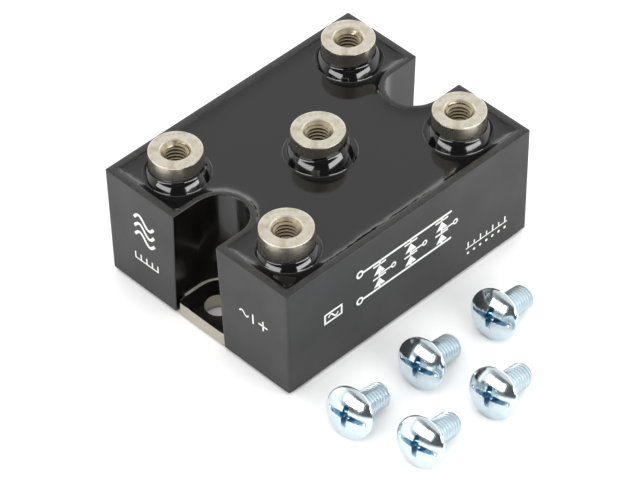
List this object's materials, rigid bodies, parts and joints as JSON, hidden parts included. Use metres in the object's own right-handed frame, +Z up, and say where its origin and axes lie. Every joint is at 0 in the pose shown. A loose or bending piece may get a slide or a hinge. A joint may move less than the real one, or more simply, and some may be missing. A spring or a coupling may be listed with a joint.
{
  "type": "solid state relay power module",
  "caption": "Potted solid state relay power module on a metal base plate with notched mounting lugs and raised round screw terminals, with its loose terminal screws lying beside it.",
  "frame": {"origin": "centre of the base plate's underside, the face that meets the heat sink", "axes": "+Z up out of the terminals, +X along the long side from one notched end to the other, +Y away from the loose screws"},
  "size_m": [0.0766, 0.0993, 0.0368],
  "materials": {
    "housing_plastic": "moulded, fine matte grain",
    "epoxy": "poured, glossy black",
    "plate_nickel": "nickel plate on stamped copper, satin",
    "post_nickel": "nickel plate on turned brass, satin",
    "zinc": "clear zinc plate on headed steel, bright",
    "copper": "rolled copper, bright",
    "solder": "reflowed solder, satin",
    "ceramic": "fired alumina, satin",
    "silicon": "polished silicon",
    "gel": "clear soft silicone"
  },
  "bodies": {
    "module": {"housing_shell": "housing_plastic", "base_plate": "plate_nickel", "substrate_solder": "solder", "substrate_back_copper": "copper", "ceramic_substrate": "ceramic", "copper_pad_positive": "copper", "copper_pad_negative": "copper", "copper_pad_phase_a": "copper", "upper_die_phase_a": "silicon", "upper_clip_phase_a": "copper", "lower_die_phase_a": "silicon", "lower_clip_phase_a": "copper", "copper_pad_phase_b": "copper", "upper_die_phase_b": "silicon", "upper_clip_phase_b": "copper", "lower_die_phase_b": "silicon", "lower_clip_phase_b": "copper", "copper_pad_phase_c": "copper", "upper_die_phase_c": "silicon", "upper_clip_phase_c": "copper", "lower_die_phase_c": "silicon", "lower_clip_phase_c": "copper", "terminal_lead_phase_a": "copper", "terminal_post_phase_a": "post_nickel", "terminal_lead_phase_b": "copper", "terminal_post_phase_b": "post_nickel", "terminal_lead_phase_c": "copper", "terminal_post_phase_c": "post_nickel", "terminal_lead_positive": "copper", "terminal_post_positive": "post_nickel", "terminal_lead_negative": "copper", "terminal_post_negative": "post_nickel", "silicone_gel": "gel", "epoxy_potting": "epoxy"},
    "screw_1": {"terminal_screw_1": "zinc"},
    "screw_2": {"terminal_screw_2": "zinc"},
    "screw_3": {"terminal_screw_3": "zinc"},
    "screw_4": {"terminal_screw_4": "zinc"},
    "screw_5": {"terminal_screw_5": "zinc"}
  },
  "joints": [
    {"name": "screw_1_lift", "type": "slide", "parent": "module", "child": "screw_1", "axis": [0, 0, 1], "range_m": [0, 0.04]},
    {"name": "screw_2_lift", "type": "slide", "parent": "module", "child": "screw_2", "axis": [0, 0, 1], "range_m": [0, 0.04]},
    {"name": "screw_3_lift", "type": "slide", "parent": "module", "child": "screw_3", "axis": [0, 0, 1], "range_m": [0, 0.04]},
    {"name": "screw_4_lift", "type": "slide", "parent": "module", "child": "screw_4", "axis": [0, 0, 1], "range_m": [0, 0.04]},
    {"name": "screw_5_lift", "type": "slide", "parent": "module", "child": "screw_5", "axis": [0, 0, 1], "range_m": [0, 0.04]}
  ]
}
